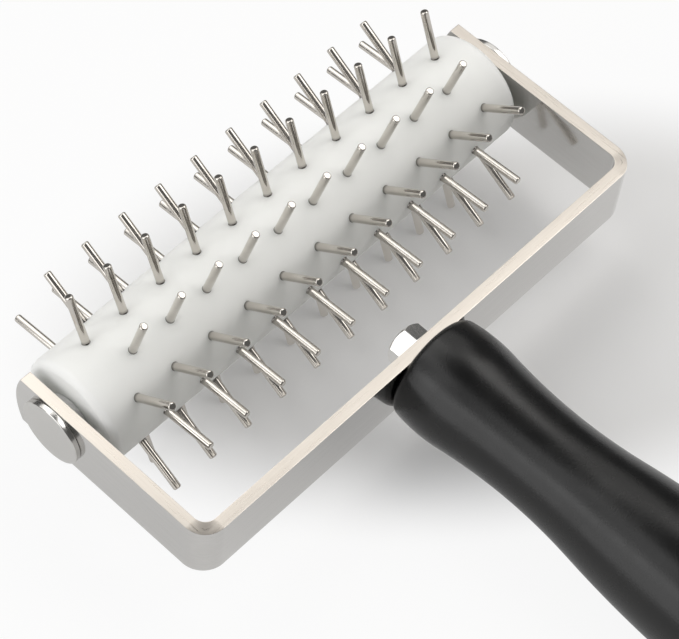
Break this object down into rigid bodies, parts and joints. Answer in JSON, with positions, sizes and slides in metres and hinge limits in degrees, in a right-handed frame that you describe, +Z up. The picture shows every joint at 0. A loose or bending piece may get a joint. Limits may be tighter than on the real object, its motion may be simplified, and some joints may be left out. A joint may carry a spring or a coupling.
{
  "type": "dough docker",
  "caption": "Hand-held dough docker: a white plastic roller set with blunt steel pins, spinning on an axle in a bent steel yoke with a waisted black plastic handle.",
  "frame": {"origin": "on the table, under the middle of the tool's box, as it lies on two rows of pins and the butt of its handle", "axes": "+X along the roller axle towards the axle cap, +Y away from the handle, +Z up"},
  "size_m": [0.1546, 0.1942, 0.0566],
  "materials": {
    "white_roller": "satin, slightly cool white, turned",
    "polished_pin": "polished, blunt ends with a fine broken edge",
    "stainless_bar": "satin polished flat bar with a brushed grain along its length",
    "stainless_axle": "turned, satin face and polished rim",
    "polished_fastener": "polished",
    "black_grip": "moulded, fine grain, soft sheen",
    "spacer_nylon": "white nylon, plain turned",
    "insert_brass": "plain turned"
  },
  "bodies": {
    "frame": {"yoke": "stainless_bar", "axle": "stainless_axle", "axle_cap": "stainless_axle", "spacer_left": "spacer_nylon", "spacer_right": "spacer_nylon", "bolt_washer": "polished_fastener", "handle_bolt": "polished_fastener", "handle_insert": "insert_brass", "handle_grip": "black_grip"},
    "roller": {"roller_core": "white_roller", "pin_row_01": "polished_pin", "pin_row_02": "polished_pin", "pin_row_03": "polished_pin", "pin_row_04": "polished_pin", "pin_row_05": "polished_pin", "pin_row_06": "polished_pin", "pin_row_07": "polished_pin", "pin_row_08": "polished_pin", "pin_row_09": "polished_pin", "pin_row_10": "polished_pin"}
  },
  "joints": [
    {"name": "roller_spin", "type": "hinge", "parent": "frame", "child": "roller", "pos_m": [0, 0.06757, 0.02832], "axis": [1, 0, 0], "continuous": true}
  ]
}
